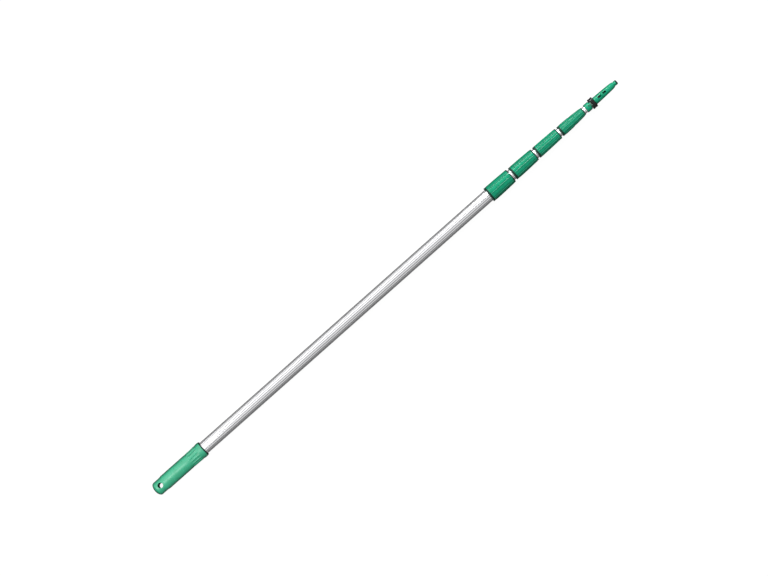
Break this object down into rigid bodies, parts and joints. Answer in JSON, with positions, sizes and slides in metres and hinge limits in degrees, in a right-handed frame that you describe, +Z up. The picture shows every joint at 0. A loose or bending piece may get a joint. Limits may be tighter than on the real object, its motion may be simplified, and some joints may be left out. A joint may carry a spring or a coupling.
{
  "type": "telescopic window cleaning pole",
  "caption": "Telescopic aluminium pole with twist-lock collars, a moulded butt grip with a hang hole, and a tapered tool cone with a release ring.",
  "frame": {"origin": "on the surface the pole lies on, under the middle of its closed length", "axes": "+X along the pole from the butt to the tip, +Z up, away from the surface"},
  "size_m": [2.098, 0.058, 0.058],
  "materials": {
    "aluminium": "drawn, natural anodised",
    "grip_plastic": "fine moulded texture",
    "collar_plastic": "satin moulded",
    "cone_plastic": "satin moulded",
    "socket_plastic": "moulded",
    "pale_acetal": "smooth",
    "black_plastic": "glossy moulded",
    "dark_plastic": "moulded",
    "bright_steel": "bright",
    "dark_steel": "blackened"
  },
  "bodies": {
    "section_1": {"tube_1": "aluminium", "end_grip": "grip_plastic", "butt_plug": "dark_plastic", "grip_rivet": "bright_steel", "collar_1_socket": "socket_plastic", "collar_1_jaw": "pale_acetal", "collar_1_rivets": "bright_steel"},
    "twist_sleeve_1": {"collar_1_sleeve": "collar_plastic"},
    "section_2": {"tube_2": "aluminium", "guide_bush_2": "pale_acetal", "stop_ring_2": "dark_plastic", "collar_2_socket": "socket_plastic", "collar_2_jaw": "pale_acetal", "collar_2_rivets": "bright_steel"},
    "twist_sleeve_2": {"collar_2_sleeve": "collar_plastic"},
    "section_3": {"tube_3": "aluminium", "guide_bush_3": "pale_acetal", "stop_ring_3": "dark_plastic", "collar_3_socket": "socket_plastic", "collar_3_jaw": "pale_acetal", "collar_3_rivets": "bright_steel"},
    "twist_sleeve_3": {"collar_3_sleeve": "collar_plastic"},
    "section_4": {"tube_4": "aluminium", "guide_bush_4": "pale_acetal", "stop_ring_4": "dark_plastic", "collar_4_socket": "socket_plastic", "collar_4_jaw": "pale_acetal", "collar_4_rivets": "bright_steel"},
    "twist_sleeve_4": {"collar_4_sleeve": "collar_plastic"},
    "section_5": {"tube_5": "aluminium", "guide_bush_5": "pale_acetal", "stop_ring_5": "dark_plastic", "tool_cone": "cone_plastic", "cone_rivet": "dark_steel", "lever_pin": "bright_steel", "ring_spring": "bright_steel", "latch_spring": "bright_steel"},
    "release": {"release_ring": "black_plastic"},
    "latch": {"latch_lever": "cone_plastic"}
  },
  "joints": [
    {"name": "slide_2", "type": "slide", "parent": "section_1", "child": "section_2", "axis": [1, 0, 0], "range_m": [-0.007, 1.22]},
    {"name": "slide_3", "type": "slide", "parent": "section_2", "child": "section_3", "axis": [1, 0, 0], "range_m": [-0.007, 1.22]},
    {"name": "slide_4", "type": "slide", "parent": "section_3", "child": "section_4", "axis": [1, 0, 0], "range_m": [-0.007, 1.22]},
    {"name": "slide_5", "type": "slide", "parent": "section_4", "child": "section_5", "axis": [1, 0, 0], "range_m": [-0.007, 1.22]},
    {"name": "twist_1", "type": "hinge", "parent": "section_1", "child": "twist_sleeve_1", "pos_m": [0.518, 0, 0.029], "axis": [1, 0, 0], "range_deg": [0, 90]},
    {"name": "twist_2", "type": "hinge", "parent": "section_2", "child": "twist_sleeve_2", "pos_m": [0.626, 0, 0.029], "axis": [1, 0, 0], "range_deg": [0, 90]},
    {"name": "twist_3", "type": "hinge", "parent": "section_3", "child": "twist_sleeve_3", "pos_m": [0.734, 0, 0.029], "axis": [1, 0, 0], "range_deg": [0, 90]},
    {"name": "twist_4", "type": "hinge", "parent": "section_4", "child": "twist_sleeve_4", "pos_m": [0.842, 0, 0.029], "axis": [1, 0, 0], "range_deg": [0, 90]},
    {"name": "ring_pull", "type": "slide", "parent": "section_5", "child": "release", "axis": [-1, 0, 0], "range_m": [0, 0.006], "stiffness_N_per_m": 800, "springref_m": -0.006, "deforming": ["ring_spring"]},
    {"name": "latch_tilt", "type": "hinge", "parent": "section_5", "child": "latch", "pos_m": [0.958, 0, 0.029], "axis": [0, 1, 0], "range_deg": [0, 7.7], "deforming": ["latch_spring"]}
  ],
  "couplings": [
    {"joint": "latch_tilt", "follows": "ring_pull", "rad_per_m": 22}
  ]
}
